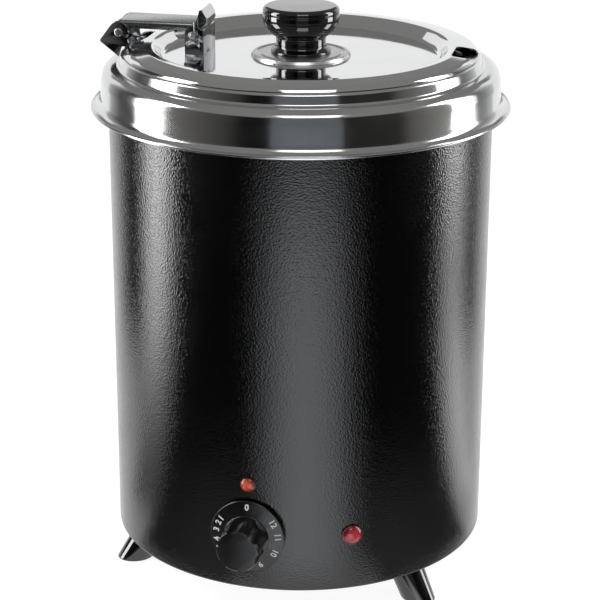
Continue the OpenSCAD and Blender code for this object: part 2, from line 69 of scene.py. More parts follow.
# %% Sizes
SHELL_RADIUS, SHELL_BOTTOM, SHELL_TOP, SHELL_SHEET = 120, 24, 324, 1.2
SHEET = 1.0  # the thickness of the well, the pot, the collar and the lid
WELL_RADIUS, WELL_FLOOR, WELL_RIM = 107, 113.2, SHELL_TOP + SHEET
POT_RADIUS, POT_FLOOR, POT_RIM, POT_FLARE = 98, 126.1, WELL_RIM + 1.1, 115.6
COLLAR_OPENING, COLLAR_TOP, COLLAR_LIP, COLLAR_EDGE = 100.5, 336.8, 304.3, 130.8
LID_MIDDLE, LID_CREST = 334, 341.2
DISC_TOP = LID_MIDDLE + 2.3
KNOB_RADIUS, KNOB_WAIST, KNOB_SEAM = 23.9, 15.6, DISC_TOP + 25
DIAL_AT, LAMP_AT, GLAND_AT, HINGE_AT, LADLE_AT, FIRST_FOOT_AT = -15, 15.6, 180, -102, 78, -77
DIAL_HEIGHT, LAMP_HEIGHT, GLAND_HEIGHT = 61, 94.5, 46
print("sheet steel rims at", SHELL_TOP, WELL_RIM, POT_RIM, "mm")

# %% [markdown]
# ## Colour
# A colour picked on a screen is in sRGB, but a shader adds up light, which is linear. One function turns
# the one into the other, so that every colour below can be written as the hex value of a paint chart.

# %% Hex colours
def linear(hex_colour):
    """The four linear numbers that a shader wants, from a colour such as "#1A1B1D"."""
    parts = [int(hex_colour[i:i + 2], 16) / 255 for i in (1, 3, 5)]
    return [c / 12.92 if c <= 0.04045 else ((c + 0.055) / 1.055) ** 2.4 for c in parts] + [1.0]


print("mid grey #808080 is", round(linear("#808080")[0], 3), "in linear light")

# %% [markdown]
# ## Building materials from nodes
# A material is a small graph. One function adds a node, sets it and links it, because a graph written
# as plain calls can be read from top to bottom. A socket that is given another node's output is linked,
# and one that is given a value keeps it.

# %% Adding a node
def add(tree, kind, sockets=None, **settings):
    """Adds a node of this kind with its settings, and fills its sockets with values or links."""
    made = tree.nodes.new(kind)
    for name, value in settings.items():
        setattr(made, name, value)
    for name, value in (sockets or {}).items():
        if isinstance(value, bpy.types.NodeSocket):
            tree.links.new(value, made.inputs[name])
        else:
            made.inputs[name].default_value = value
    return made


# %% [markdown]
# Most finishes here share a plan: a shader with its constants, a pattern that shifts the roughness, one
# that shifts the colour, and one that raises the surface a little. The plan is one function, and each
# finish keeps its own patterns. Sizes of patterns are in millimetres, and `per` turns them into the
# scale that a texture on Object coordinates in metres needs.

# %% The plan of a finish
def per(size_mm):
    """Texture scale at which one feature of a pattern is this many millimetres wide."""
    return 1 / (size_mm * MM)


def finish_named(name, **constants):
    """A new material: returns it with its tree, its shader and a socket with Object coordinates."""
    material = bpy.data.materials.new(name)
    material.use_nodes = True
    tree = material.node_tree
    shader = tree.nodes["Principled BSDF"]
    for socket, value in constants.items():
        shader.inputs[socket.replace("_", " ")].default_value = value
    place = add(tree, "ShaderNodeTexCoord").outputs["Object"]
    return material, tree, shader, place


def between(tree, value, low, high):
    """Maps a pattern's 0.3 to 0.7, where noise mostly lies, onto low to high."""
    return add(tree, "ShaderNodeMapRange", {
        "Value": value, "From Min": 0.3, "From Max": 0.7, "To Min": low, "To Max": high}).outputs[0]


def tint(tree, value, dark, light):
    """A colour that goes from dark to light with a pattern."""
    mix = add(tree, "ShaderNodeMix", {"Factor": value}, data_type="RGBA")
    mix.inputs[6].default_value = linear(dark)
    mix.inputs[7].default_value = linear(light)
    return mix.outputs[2]


def noise(tree, place, size_mm, detail=3.0, rough=0.5):
    """Cloudy noise whose largest features are this wide."""
    return add(tree, "ShaderNodeTexNoise", {
        "Vector": place, "Scale": per(size_mm), "Detail": detail, "Roughness": rough}).outputs[0]


def raised(tree, shader, height, depth_mm, under=None):
    """Bump from a height pattern of this real depth; under is a bump that lies below it."""
    sockets = {"Height": height, "Distance": depth_mm * MM, "Strength": 1.0}
    if under is not None:
        sockets["Normal"] = under
    bump = add(tree, "ShaderNodeBump", sockets).outputs[0]
    for link in list(shader.inputs["Normal"].links):
        tree.links.remove(link)
    tree.links.new(bump, shader.inputs["Normal"])
    return bump


# %% [markdown]
# ## The shell's finish: black wrinkle powder coat
# The steel shell is sprayed with polyester powder and baked. The coat shrinks as it cures and wrinkles
# into grains about a millimetre wide, so a lamp's reflection breaks up into bright specks. Two patterns
# make that: rounded cells for the grains, and noise nearly as fine for the folds that run across them.

# %% Powder coat
def wrinkle_coat():
    """Black powder coat: glossy on each grain, dull as a whole, because every grain leans its own way."""
    material, tree, shader, place = finish_named(
        "black_wrinkle_powder_coat", Roughness=0.15, IOR=1.6)
    grains = add(tree, "ShaderNodeTexVoronoi", {
        "Vector": place, "Scale": per(1.15), "Smoothness": 0.4, "Randomness": 1.0}, feature="SMOOTH_F1")
    from_middle = grains.outputs["Distance"]
    folds = noise(tree, place, 0.95, 1.0)
    drift = noise(tree, place, 22.0, 2.0)
    tree.links.new(between(tree, drift, 0.13, 0.18), shader.inputs["Roughness"])
    # the grain tops are painted a shade lighter than the grooves between them: painted highlight and
    # painted shade
    tree.links.new(tint(tree, from_middle, "#08090A", "#030303"), shader.inputs["Base Color"])
    raised(tree, shader, from_middle, 0.12, under=raised(tree, shader, folds, 0.1))
    return material


powder_coat = wrinkle_coat()
print(powder_coat.name)

# %% [markdown]
# ## Steel that was spun on a lathe
# The collar, the lid, the pot and the well are stainless steel discs, pressed over a former and then
# polished while they turn. The polishing leaves rings, so the pattern has to follow the radius and the
# height, not the side of the object. The length of (x, y) is the radius, and noise that reads only
# radius and height draws rings on any turned piece.

# %% Ring pattern and the spun steels
def rings(tree, place, size_mm):
    """Noise that runs round the kettle's axis, with rings this far apart."""
    apart = add(tree, "ShaderNodeSeparateXYZ", {0: place})
    flat = add(tree, "ShaderNodeCombineXYZ", {0: apart.outputs[0], 1: apart.outputs[1]})
    radius = add(tree, "ShaderNodeVectorMath", {0: flat.outputs[0]}, operation="LENGTH").outputs["Value"]
    both = add(tree, "ShaderNodeCombineXYZ", {0: radius, 2: apart.outputs[2]}).outputs[0]
    return noise(tree, both, size_mm, 2.0)


def spun_steel(name, dark, light, rough_low, rough_high, ring_mm, ring_depth):
    """Stainless steel with lathe rings, and faint cloudy marks left by the polishing cloth."""
    material, tree, shader, place = finish_named(name, Metallic=1.0)
    lines = rings(tree, place, ring_mm)
    cloth = noise(tree, place, 28.0, 4.0)
    tree.links.new(between(tree, cloth, rough_low, rough_high), shader.inputs["Roughness"])
    tree.links.new(tint(tree, cloth, dark, light), shader.inputs["Base Color"])
    raised(tree, shader, lines, ring_depth)
    return material


mirror_steel = spun_steel("polished_304_stainless", "#D6D7D8", "#E2E3E4", 0.035, 0.08, 0.9, 0.0012)
collar_steel = spun_steel("drawn_and_buffed_304_stainless", "#CDCECF", "#DBDCDD", 0.1, 0.16, 0.7, 0.0025)
disc_steel = spun_steel("brushed_304_stainless", "#D2D3D4", "#E0E1E2", 0.26, 0.32, 0.5, 0.003)
drawn_steel = spun_steel("satin_drawn_304_stainless", "#BDBFC1", "#CFD1D3", 0.16, 0.26, 0.8, 0.006)
for steel in (mirror_steel, collar_steel, disc_steel, drawn_steel):
    print("spun steel:", steel.name)

# %% [markdown]
# ## Small metal parts
# Screws and clips are mild steel with a thin zinc layer, which shows a soft mottle. The hinge's strip
# parts are stainless steel. The bracket and the lever were stamped and then tumbled with stones, so
# their faces are nearly bright. The arm was brushed afterwards, which dulls its gloss. The arm and the
# lid's bracket get a darker base colour than the other stainless parts, and that darkness is painted
# shade.
# The heating parts are bare: aluminium with a rolled grain, an oxidised steel sheath, and copper that has
# started to brown.

# %% Small metals
def plain_metal(name, dark, light, rough_low, rough_high, mark_mm, depth_mm):
    """Bare or plated metal with one size of mark in its colour, gloss and surface."""
    material, tree, shader, place = finish_named(name, Metallic=1.0)
    marks = noise(tree, place, mark_mm, 4.0, 0.6)
    tree.links.new(between(tree, marks, rough_low, rough_high), shader.inputs["Roughness"])
    tree.links.new(tint(tree, marks, dark, light), shader.inputs["Base Color"])
    raised(tree, shader, noise(tree, place, mark_mm * 0.3, 2.0), depth_mm)
    return material


zinc_plate = plain_metal("zinc_plated_steel", "#A9ADB2", "#C3C6C9", 0.28, 0.42, 3.0, 0.004)
tumbled_steel = plain_metal("tumbled_430_stainless", "#C3C5C7", "#D3D5D6", 0.05, 0.1, 2.2, 0.002)
# the arm's and the lid bracket's base colours are darker than the other stainless parts: painted shade
arm_steel_painted_shade = plain_metal("brushed_430_stainless", "#9C9EA1", "#A9ABAE", 0.2, 0.28, 2.0, 0.003)
clip_steel_painted_shade = plain_metal("stamped_430_stainless", "#85878B", "#9C9EA2", 0.08, 0.15, 2.2, 0.003)
lever_steel = plain_metal("tumbled_lever_steel", "#B5B7BA", "#CBCDCF", 0.08, 0.15, 2.0, 0.003)
pin_steel = plain_metal("turned_pin_steel", "#B2B4B7", "#CBCDCF", 0.12, 0.2, 1.5, 0.003)
spring_wire = plain_metal("drawn_spring_wire", "#A5A8AB", "#BBBEC1", 0.2, 0.3, 0.8, 0.002)
rolled_aluminium = plain_metal("rolled_aluminium", "#C9CBCD", "#DCDDDE", 0.32, 0.45, 4.0, 0.004)
oxidised_sheath = plain_metal("oxidised_heater_sheath", "#57524E", "#7A746D", 0.38, 0.55, 5.0, 0.01)
browned_copper = plain_metal("browned_copper_tube", "#96593A", "#C4835C", 0.26, 0.42, 4.0, 0.004)
small_metals = (zinc_plate, tumbled_steel, arm_steel_painted_shade, clip_steel_painted_shade, lever_steel, pin_steel, spring_wire,
                rolled_aluminium, oxidised_sheath, browned_copper)
print("small metals:", ", ".join(metal.name for metal in small_metals))

# %% [markdown]
# ## Moulded plastics
# The knob and the feet are phenolic resin, pressed in a polished mould and buffed: deep black with a
# wet gloss. The wax of the buffing wheel stays on the knob as a thin second gloss, which the shader's
# coat stands for. The dial is ABS from a mould with a fine spark-eroded grain, so it only glimmers. The
# gland and the thermostat's case are nylon, and the lamp bodies and the terminals are cream nylon.

# %% Plastics
def moulded(name, dark, light, rough_low, rough_high, ior, grain_mm, depth_mm):
    """Moulded plastic: even colour with a faint drift, and the grain of its mould."""
    material, tree, shader, place = finish_named(name, IOR=ior)
    drift = noise(tree, place, 12.0, 3.0)
    tree.links.new(between(tree, drift, rough_low, rough_high), shader.inputs["Roughness"])
    tree.links.new(tint(tree, drift, dark, light), shader.inputs["Base Color"])
    raised(tree, shader, noise(tree, place, grain_mm, 2.0), depth_mm)
    return material


knob_phenolic = moulded("buffed_black_phenolic", "#050506", "#09090A", 0.03, 0.06, 1.6, 5.0, 0.003)
knob_shader = knob_phenolic.node_tree.nodes["Principled BSDF"]
for socket, value in (("Coat Weight", 0.45), ("Coat IOR", 1.6), ("Coat Roughness", 0.02)):
    knob_shader.inputs[socket].default_value = value
foot_phenolic = moulded("moulded_black_phenolic", "#0A0A0B", "#101112", 0.06, 0.11, 1.75, 3.0, 0.004)
dial_abs = moulded("spark_grained_black_abs", "#0C0D0E", "#151617", 0.2, 0.28, 1.54, 0.5, 0.012)
black_nylon = moulded("moulded_black_nylon", "#131416", "#1E1F22", 0.36, 0.5, 1.53, 0.8, 0.012)
cream_nylon = moulded("moulded_cream_nylon", "#D8D2C2", "#E6E1D4", 0.38, 0.5, 1.53, 0.8, 0.01)
for plastic in (knob_phenolic, foot_phenolic, dial_abs, black_nylon, cream_nylon):
    print("plastic:", plastic.name)

# %% [markdown]
# ## Lamp lenses and ink
# A pilot lamp has a clear red polycarbonate dome in front of a pale lamp body. Its colour is light in
# the middle, which is a painted highlight, and deep red round it, which is painted shade. The distance to
# the apex picks the colour. The dial's numbers are pad-printed in white ink, which lies a little uneven.

# %% Lenses and ink
def lens_finish(name, dark, light, apex, reach_mm):
    """Dyed polycarbonate, with a painted highlight at its apex and painted shade from this distance to
    the apex outwards.
    """
    material, tree, shader, place = finish_named(
        name, Roughness=0.17, IOR=1.585, Transmission_Weight=0.2)
    away = add(tree, "ShaderNodeVectorMath", {0: place, 1: apex}, operation="DISTANCE").outputs["Value"]
    fade = {"Value": away, "From Min": 0.3 * reach_mm * MM, "From Max": reach_mm * MM}
    painted_shade_ramp = add(tree, "ShaderNodeMapRange", fade, interpolation_type="SMOOTHSTEP").outputs[0]
    grain = noise(tree, place, 3.0, 1.0)
    # the base colour runs from a painted highlight at the apex to painted shade towards the rim
    tree.links.new(tint(tree, painted_shade_ramp, light, dark), shader.inputs["Base Color"])
    tree.links.new(between(tree, grain, 0.14, 0.2), shader.inputs["Roughness"])
    raised(tree, shader, noise(tree, place, 1.6, 1.0), 0.005)
    return material


white_ink = moulded("pad_printed_white_ink", "#DADBD8", "#F1F1EE", 0.45, 0.6, 1.48, 0.4, 0.004)
print(white_ink.name)

# %% [markdown]
# ## Turning pieces from an outline
# Nearly everything here is round, so its shape is an outline turned about an axis. The outline is given
# as corners, each with its radius, its height and how far it is rounded. Bevelling a vertex of a wire
# gives the rounding, so nobody has to work out points on arcs.
# A long straight edge then gets two extra points close to its ends. They hold the shading of a flat wall
# truly flat, which a mirror finish would otherwise give away.

# %% Outline
GUARD = 0.35 * MM  # how far the extra points of a straight edge lie from its ends


def outline(corners, segments=10):
    """A wire in the XZ plane, in metres, from (radius, height, rounding) corners in millimetres."""
    bm = bmesh.new()
    verts = [bm.verts.new((r * MM, 0, z * MM)) for r, z, _ in corners]
    for a, b in zip(verts, verts[1:]):
        bm.edges.new((a, b))
    for vert, (_, _, rounding) in zip(verts, corners):
        if rounding:
            one, two = [(e.other_vert(vert).co - vert.co).normalized() for e in vert.link_edges]
            reach = rounding * MM / math.tan(one.angle(two) / 2)
            bmesh.ops.bevel(bm, geom=[vert], offset=reach, offset_type="OFFSET", segments=segments,
                            profile=0.5, affect="VERTICES", clamp_overlap=True, material=-1)
    for edge in [e for e in bm.edges if e.calc_length() > 6 * GUARD]:
        first, last = edge.verts
        _, middle = bmesh.utils.edge_split(edge, first, GUARD / edge.calc_length())
        edge = next(e for e in middle.link_edges if e.other_vert(middle) == last)
        bmesh.utils.edge_split(edge, last, GUARD / edge.calc_length())
    return bm


# %% [markdown]
# Spin turns the wire into a surface. A wall of sheet metal is then given by solidify, on the side that
# the CAD model has it, so the face that was drawn stays exactly where it is. Before that the normals
# are made to agree, and a test on one face says whether they all have to be turned round.

# %% Turning, walls and finished pieces
def spun(bm, steps=256):
    """Turns a wire all the way round Z."""
    bmesh.ops.spin(bm, geom=bm.verts[:] + bm.edges[:], axis=(0, 0, 1), cent=(0, 0, 0),
                   angle=math.tau, steps=steps, use_merge=True, use_duplicate=False)


def turned(corners, steps=256, faces_axis=None, segments=10):
    """A bmesh turned round Z. faces_axis says, for an open sheet, if its drawn side looks inwards."""
    bm = outline(corners, segments)
    spun(bm, steps)
    bmesh.ops.remove_doubles(bm, verts=bm.verts, dist=1e-6)
    bmesh.ops.recalc_face_normals(bm, faces=bm.faces)
    if faces_axis is not None:
        # the widest face decides, and an upright one counts for more than a level one
        wide = max(bm.faces, key=lambda f: f.calc_area() * (1.2 - abs(f.normal.z)))
        out = Vector((*wide.calc_center_median().xy, 0)).normalized()
        looks_in = wide.normal.dot(out) < 0 if abs(wide.normal.z) < 0.7 else wide.normal.z > 0
        if looks_in != faces_axis:
            bmesh.ops.reverse_faces(bm, faces=bm.faces)
    return bm


def wall(bm, thickness):
    """Gives an open sheet its thickness, behind the side that was drawn."""
    bmesh.ops.solidify(bm, geom=bm.faces[:], thickness=thickness * MM)
    return bm


def ring(radius, height, section):
    """A rolled edge: a small circle, whose radius is the section, turned round the axis."""
    bm = bmesh.new()
    bmesh.ops.create_circle(bm, segments=20, radius=section * MM,
                            matrix=Matrix.Translation((radius * MM, 0, height * MM))
                            @ Matrix.Rotation(math.radians(90), 4, "X"))
    spun(bm)
    bmesh.ops.recalc_face_normals(bm, faces=bm.faces)
    return bm


CREASE = math.radians(30)  # a fold sharper than this is shaded as an edge


def piece(name, meshes, material, body, stands_for, place=None):
    """Joins bmeshes into one object, places it, shades it, and ties it to its CAD body."""
    mesh = bpy.data.meshes.new(name)
    whole = bmesh.new()
    for bm in meshes:
        part = bpy.data.meshes.new("part")
        bm.to_mesh(part)
        whole.from_mesh(part)
        bpy.data.meshes.remove(part)
        bm.free()
    if place is not None:
        bmesh.ops.transform(whole, matrix=place, verts=whole.verts)
    whole.to_mesh(mesh)
    whole.free()
    mesh.polygons.foreach_set("use_smooth", [True] * len(mesh.polygons))
    mesh.set_sharp_from_angle(angle=CREASE)
    mesh.materials.append(material)
    made = bpy.data.objects.new(name, mesh)
    bpy.context.scene.collection.objects.link(made)
    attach(made, body)
    if stands_for:
        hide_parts(*stands_for)
    size = [round((max(v.co[i] for v in mesh.vertices) - min(v.co[i] for v in mesh.vertices)) / MM, 1)
            for i in range(3)]
    print(f"{name}: {len(mesh.polygons)} faces, {size} mm, on {body}")


# %% [markdown]
# ## Round holes and notches
# The shell has holes for its lamps, dial and cable gland, and the lid has two notches in its rim. Each
# is a convex outline, so it can be cut with straight planes: bisect the faces near it with every side,
# then delete what lies inside all of them. A boolean would do it too, but it leaves long thin faces on
# a wall that has to shine evenly.

# %% Cutting a convex hole
def toward(azimuth, height=0.0):
    """Matrix of a place on the axis at this height, with +X pointing outwards at an azimuth."""
    return Matrix.Translation((0, 0, height * MM)) @ Matrix.Rotation(math.radians(azimuth - 90), 4, "Z")


def cut_out(bm, place, sides, near):
    """Cuts a hole. sides are (point, outward direction) pairs in the place's own axes, in millimetres."""
    turn = place.to_3x3()
    planes = [(place @ (Vector(p) * MM), turn @ Vector(d).normalized()) for p, d in sides]
    back = place.inverted()
    for point, direction in planes:
        faces = [f for f in bm.faces if near(back @ f.calc_center_median() / MM)]
        edges, verts = {e for f in faces for e in f.edges}, {v for f in faces for v in f.verts}
        geom = faces + list(edges) + list(verts)
        bmesh.ops.bisect_plane(bm, geom=geom, dist=1e-7, plane_co=point, plane_no=direction)
    inside = [f for f in bm.faces if near(back @ f.calc_center_median() / MM)
              and all((f.calc_center_median() - p).dot(d) < 0 for p, d in planes)]
    bmesh.ops.delete(bm, geom=inside, context="FACES")
    return len(inside)


def round_hole(bm, azimuth, height, radius, sides=24):
    """A hole through the wall at this azimuth, with its axis level. Only faces close to it are cut."""
    spokes = [math.tau * i / sides for i in range(sides)]
    return cut_out(bm, toward(azimuth, height),
                   [((0, radius * math.cos(a), radius * math.sin(a)), (0, math.cos(a), math.sin(a)))
                    for a in spokes],
                   lambda p: p.x > SHELL_RADIUS / 2 and abs(p.y) < radius + 3)


# %% [markdown]
# ## The shell
# One sheet of steel, rolled into a tube and turned in at the bottom to carry the bottom plate. Only the
# outside shows, but the wall gets its true thickness so the holes have edges.

# %% Shell
HOLES = [  # azimuth, height, radius
    (DIAL_AT, DIAL_HEIGHT, 5.1), (DIAL_AT, LAMP_HEIGHT, 4), (LAMP_AT, DIAL_HEIGHT, 5.5),
    (GLAND_AT, GLAND_HEIGHT, 8)]
tube = turned([(SHELL_RADIUS - 16, SHELL_BOTTOM, 0), (SHELL_RADIUS, SHELL_BOTTOM, 1.5),
               (SHELL_RADIUS, SHELL_TOP, 0)], faces_axis=False)
for azimuth, height, radius in HOLES:
    print("hole at azimuth", azimuth, "removed faces:", round_hole(tube, azimuth, height, radius))
piece("shell_skin", [wall(tube, SHELL_SHEET)], powder_coat, "base", ["outer_shell"])

# %% [markdown]
# ## The water well and the pot
# Both are deep-drawn cans with a rounded bottom corner and a flared rim. The pot's rim is rolled into a
# bead, so it can be lifted without cutting the cook's fingers. The bead is a ring of its own, and joins
# the rim in the same piece. Under the well sits the stud that holds the heating element up.

# %% Well and pot
STUD_RADIUS, STUD_LENGTH = 3, 27.5
stud_top = WELL_FLOOR - SHEET / 2  # it ends inside the well's floor
stud_end = stud_top - STUD_LENGTH
well = turned([(0, WELL_FLOOR, 0), (WELL_RADIUS, WELL_FLOOR, 8), (WELL_RADIUS, WELL_RIM, 7),
               (SHELL_RADIUS - 0.1, WELL_RIM, 0)], faces_axis=True)
stud = outline([(0, stud_end, 0), (STUD_RADIUS, stud_end, 0.4), (STUD_RADIUS, stud_top, 0)])
spun(stud, 32)
bmesh.ops.remove_doubles(stud, verts=stud.verts, dist=1e-6)
bmesh.ops.holes_fill(stud, edges=stud.edges, sides=64)
bmesh.ops.recalc_face_normals(stud, faces=stud.faces)
piece("well_liner", [wall(well, SHEET), stud], drawn_steel, "base", ["water_well"])
pot = turned([(0, POT_FLOOR, 0), (POT_RADIUS, POT_FLOOR, 10), (POT_RADIUS, POT_RIM, 5),
              (POT_FLARE, POT_RIM, 0)], faces_axis=True)
bead = ring(POT_FLARE + 0.8, POT_RIM + 0.5, 1.5)
piece("pot_liner", [wall(pot, SHEET), bead], drawn_steel, "pot", ["inner_pot"])

# %% [markdown]
# ## The collar
# The collar lies on the pot's rim and hangs over the shell. Its outline has a small step on top, a
# rounded shoulder and a skirt that flares into a lip. The lip's edge is hemmed: a thin ring again.

# %% Collar
collar = turned([(COLLAR_OPENING, COLLAR_TOP - 3, 0), (COLLAR_OPENING, COLLAR_TOP, 1.2),
                 (111.3, COLLAR_TOP, 2.4), (113.4, 329.5, 2), (122.1, 329.3, 6.4), (124.3, 321.5, 10),
                 (125.1, COLLAR_LIP, 6), (COLLAR_EDGE, COLLAR_LIP, 0)], faces_axis=False)
hem = ring(COLLAR_EDGE - 0.5, COLLAR_LIP - 0.2, 0.8)
piece("collar_skin", [wall(collar, SHEET), hem], collar_steel, "collar",
      ["collar_ring"])

# %% [markdown]
# ## The lid
# The lid is flat in the middle, climbs to a crest and rolls over the collar's opening. It has one notch
# for the ladle and one for the hinge. A notch has straight sides and two rounded inner corners, so its
# sides are given as directions round each corner.

# %% Lid
def notch(bm, azimuth, inner, half, corner=3.0):
    """Cuts a notch out of the rim, from this radius outwards and this far to each side."""
    sides = []
    for side in (-1, 1):
        for angle in range(0, 91, 15):
            direction = Vector((-math.cos(math.radians(angle)), side * math.sin(math.radians(angle)), 0))
            middle = Vector((inner + corner, side * (half - corner), 0))
            sides.append((middle + direction * corner, direction))
    both_inward = len(sides) // 2  # both corners start with the side that faces the axis, so one goes
    return cut_out(bm, toward(azimuth), sides[:both_inward] + sides[both_inward + 1:],
                   lambda p: p.x > inner - 2 and abs(p.y) < half + 2)


lid = turned([(0, LID_MIDDLE, 0), (86.5, LID_MIDDLE, 3.5), (91.8, LID_CREST, 3),
              (97, LID_CREST + 0.1, 10), (108.6, 339.9, 4.5), (110.09, 337.2, 0)], faces_axis=True)
for title, azimuth, inner, half in (("ladle", LADLE_AT, 95.5, 14), ("hinge", HINGE_AT, 97.6, 16.2)):
    print(title, "notch removed", notch(lid, azimuth, inner, half), "faces")
piece("lid_skin", [wall(lid, SHEET)], mirror_steel, "lid", ["lid_plate"])

# %% [markdown]
# ## The knob
# A polished disc lies under the knob. The knob is waisted so that fingers fit under it, and it bulges to
# a seam, where a separate cap closes it. The seam is a groove between two rounded edges, which the
# light picks out as a fine ring.

# %% Knob
groove = DISC_TOP - 0.6
disc = turned([(0, LID_MIDDLE, 0), (31, LID_MIDDLE, 0.1), (30.9, LID_MIDDLE + 0.5, 0.4),
               (29.8, DISC_TOP, 0.6), (28.2, DISC_TOP, 0.5), (27.3, groove, 0.4), (25.9, groove, 0.4),
               (25, DISC_TOP, 0.5), (0, DISC_TOP, 0)], steps=128)
piece("knob_plate", [disc], disc_steel, "lid", ["knob_disc"])
grip = turned([(0, DISC_TOP, 0), (18.7, DISC_TOP, 0.5), (18.7, 337.6, 1.2), (KNOB_WAIST, 340.4, 2.5),
               (KNOB_WAIST, 346.5, 2), (KNOB_RADIUS, 350.5, 12), (KNOB_RADIUS, KNOB_SEAM, 0.8),
               (0, KNOB_SEAM, 0)], steps=128, segments=16)
piece("knob_body", [grip], knob_phenolic, "lid", ["lid_knob"])
cap = turned([(0, KNOB_SEAM, 0), (KNOB_RADIUS, KNOB_SEAM, 0.8), (KNOB_RADIUS, KNOB_SEAM + 4, 3.1),
              (0, KNOB_SEAM + 4.3, 0)], steps=128, segments=12)
piece("knob_top", [cap], knob_phenolic, "lid", ["knob_cap"])

# %% [markdown]
# ## The feet
# Each foot is a leaning cone, sawn level at the floor and under the bottom plate. A cone is created,
# tilted and moved, two planes saw it, and the sawn faces are filled and their edges rounded.

# %% Feet
FOOT_RADIUS, FOOT_LEAN = 112, 33  # where a foot's axis meets the floor, and its lean in degrees
PLATE_HEIGHT = 22.8  # underside of the bottom plate


def foot_mesh(azimuth):
    """A sawn cone at this azimuth, which gets thinner and spreads outwards on its way down."""
    bm = bmesh.new()
    lean = (Matrix.Translation((FOOT_RADIUS * MM, 0, 0))
            @ Matrix.Rotation(math.radians(-FOOT_LEAN), 4, "Y") @ Matrix.Translation((0, 0, 13 * MM)))
    bmesh.ops.create_cone(bm, cap_ends=True, segments=96, matrix=lean,
                          radius1=9.4 * MM, radius2=11.6 * MM, depth=66 * MM)
    for height, clear in ((0, "clear_inner"), (PLATE_HEIGHT, "clear_outer")):
        cut = bmesh.ops.bisect_plane(bm, geom=bm.verts[:] + bm.edges[:] + bm.faces[:], dist=1e-7,
                                     plane_co=(0, 0, height * MM), plane_no=(0, 0, 1), **{clear: True})
        rim = [e for e in cut["geom_cut"] if isinstance(e, bmesh.types.BMEdge)]
        bmesh.ops.contextual_create(bm, geom=rim)
    rims = [e for e in bm.edges if e.is_manifold and e.calc_face_angle() > CREASE]
    bmesh.ops.bevel(bm, geom=rims, offset=1.1 * MM, offset_type="OFFSET", segments=5, profile=0.5,
                    affect="EDGES", clamp_overlap=True, material=-1)
    bmesh.ops.recalc_face_normals(bm, faces=bm.faces)
    bmesh.ops.transform(bm, matrix=toward(azimuth), verts=bm.verts)
    return bm


for third, node in enumerate(("foot_left", "foot_right", "foot_rear")):
    piece(node + "_moulding", [foot_mesh(FIRST_FOOT_AT + 120 * third)], foot_phenolic, "base",
          [node])

# %% [markdown]
# ## The lamp lenses
# Each lens is a dome with a short straight rim. It is turned like everything else, and then a matrix
# lays its axis level and points it out of the shell.

# %% Lenses
def facing(azimuth, height):
    """Takes a piece that was turned round Z, and points its +Z outwards at an azimuth and a height."""
    return toward(azimuth, height) @ Matrix.Rotation(math.radians(90), 4, "Y")


def dome(radius, shoulder, top, rounding, rise):
    """A lens's outline: a straight rim, then a dome whose apex stands this far out of the shell."""
    seat, rim, apex = SHELL_RADIUS - 0.1, SHELL_RADIUS + 1.2, SHELL_RADIUS + rise
    return [(0, seat, 0), (radius, seat, 0), (radius, rim, 0.25), (shoulder, rim + 0.1, 0),
            (top, apex, rounding), (0, apex, 0)]


# each lens gets a painted shade colour for its rim and a painted highlight colour for its apex
for size, place, corners, colour, rim_shade_red, apex_highlight_red, reach_mm in (
        ("small", facing(DIAL_AT, LAMP_HEIGHT), dome(4.75, 4.3, 2.6, 5, 3.2),
         "orange_red", "#6E0A08", "#F26A4C", 5.6),
        ("large", facing(LAMP_AT, DIAL_HEIGHT), dome(6.5, 6.0, 3.85, 6.8, 4.4),
         "ruby", "#66040F", "#E23C4C", 7.4)):
    apex = place @ Vector((0, 0, corners[-1][1] * MM))
    red = lens_finish(colour + "_polycarbonate", rim_shade_red, apex_highlight_red, apex, reach_mm)
    piece(size + "_lamp_dome", [turned(corners, steps=64)], red, "base",
          [size + "_lamp_lens"], place=place)

# %% [markdown]
# ## Stamped and moulded pieces with soft edges
# No real edge is perfectly sharp: a stamped strip is tumbled and a mould has a small radius. The CAD
# pieces of the hinge, the dial and the gland have the right shape, so a copy of each is cleaned up and
# only its sharp edges are bevelled. The copy is merged first, because a CAD mesh is loose triangles.

# %% Softened copies of CAD pieces
SHARP = math.radians(35)  # edges between faces that turn more than this are rounded


def softened(node, edge_mm):
    """A bmesh copy of a CAD node with its triangles merged and its sharp edges rounded."""
    bm = bmesh.new()
    bm.from_mesh(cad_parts[node].data)
    bmesh.ops.remove_doubles(bm, verts=bm.verts, dist=2e-6)
    bmesh.ops.dissolve_limit(bm, angle_limit=math.radians(0.8), verts=bm.verts, edges=bm.edges)
    edges = [e for e in bm.edges if e.is_manifold and e.calc_face_angle() > SHARP]
    bmesh.ops.bevel(bm, geom=edges, offset=edge_mm * MM, offset_type="OFFSET", segments=2, profile=0.5,
                    affect="EDGES", clamp_overlap=True, material=-1)
    return bm


SOFT_EDGES = [  # node, rounding in mm, finish, body, slot
    ("hinge_bracket", 0.35, tumbled_steel, "collar", "hinge_steel"),
    ("bracket_rivets", 0.2, pin_steel, "collar", "zinc_steel"),
    ("hinge_pin", 0.3, zinc_plate, "collar", "zinc_steel"),
    ("hinge_arm", 0.2, arm_steel_painted_shade, "lid", "polished_steel"),
    ("lid_bracket", 0.3, clip_steel_painted_shade, "lid", "hinge_steel"),
    ("lid_bracket_rivets", 0.2, pin_steel, "lid", "zinc_steel"),
    ("lid_pin", 0.3, zinc_plate, "lid", "zinc_steel"),
    ("latch_lever", 0.2, lever_steel, "latch", "hinge_steel"),
    ("thermostat_dial", 0.3, dial_abs, "dial", "dial_black"),
    ("cable_gland", 0.4, black_nylon, "base", "moulded_black"),
]
for node, edge_mm, material, body, slot in SOFT_EDGES:
    piece(node + "_soft", [softened(node, edge_mm)], material, body, [node])

